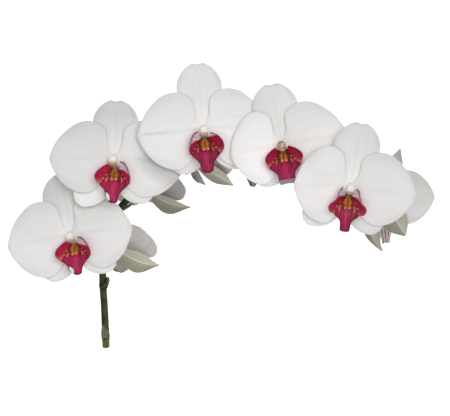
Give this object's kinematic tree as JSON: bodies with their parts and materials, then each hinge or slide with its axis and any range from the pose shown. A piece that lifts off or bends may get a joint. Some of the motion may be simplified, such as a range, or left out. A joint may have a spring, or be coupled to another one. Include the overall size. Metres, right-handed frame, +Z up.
{
  "type": "moth orchid stem",
  "caption": "Cut moth orchid stem lying down: an arching green stem carrying broad white blooms with deep crimson lips, some facing up and some facing down.",
  "frame": {"origin": "centre of the footprint, on the surface that the stem lies on", "axes": "+X towards the tip of the stem, +Y towards the crown of the arch, +Z up from the surface"},
  "size_m": [0.3898, 0.2608, 0.1509],
  "materials": {
    "petal": "soft white petal, faintly translucent, with fine veins",
    "lip": "velvety crimson, darker at the rims",
    "callus": "waxy ochre with red spots",
    "stem": "satin dark green"
  },
  "bodies": {
    "root": {"bloom_a_perianth": "petal", "bloom_a_lip": "lip", "bloom_a_callus": "callus", "bloom_b_perianth": "petal", "bloom_b_lip": "lip", "bloom_b_callus": "callus", "bloom_c_perianth": "petal", "bloom_c_lip": "lip", "bloom_c_callus": "callus", "bloom_d_perianth": "petal", "bloom_d_lip": "lip", "bloom_d_callus": "callus", "bloom_e_perianth": "petal", "bloom_e_lip": "lip", "bloom_e_callus": "callus", "bloom_f_perianth": "petal", "bloom_f_lip": "lip", "bloom_f_callus": "callus", "bloom_g_perianth": "petal", "bloom_g_lip": "lip", "bloom_g_callus": "callus", "bloom_h_perianth": "petal", "bloom_h_lip": "lip", "bloom_h_callus": "callus", "bloom_i_perianth": "petal", "bloom_i_lip": "lip", "bloom_i_callus": "callus", "bloom_j_perianth": "petal", "bloom_j_lip": "lip", "bloom_j_callus": "callus", "stem": "stem"}
  },
  "joints": []
}
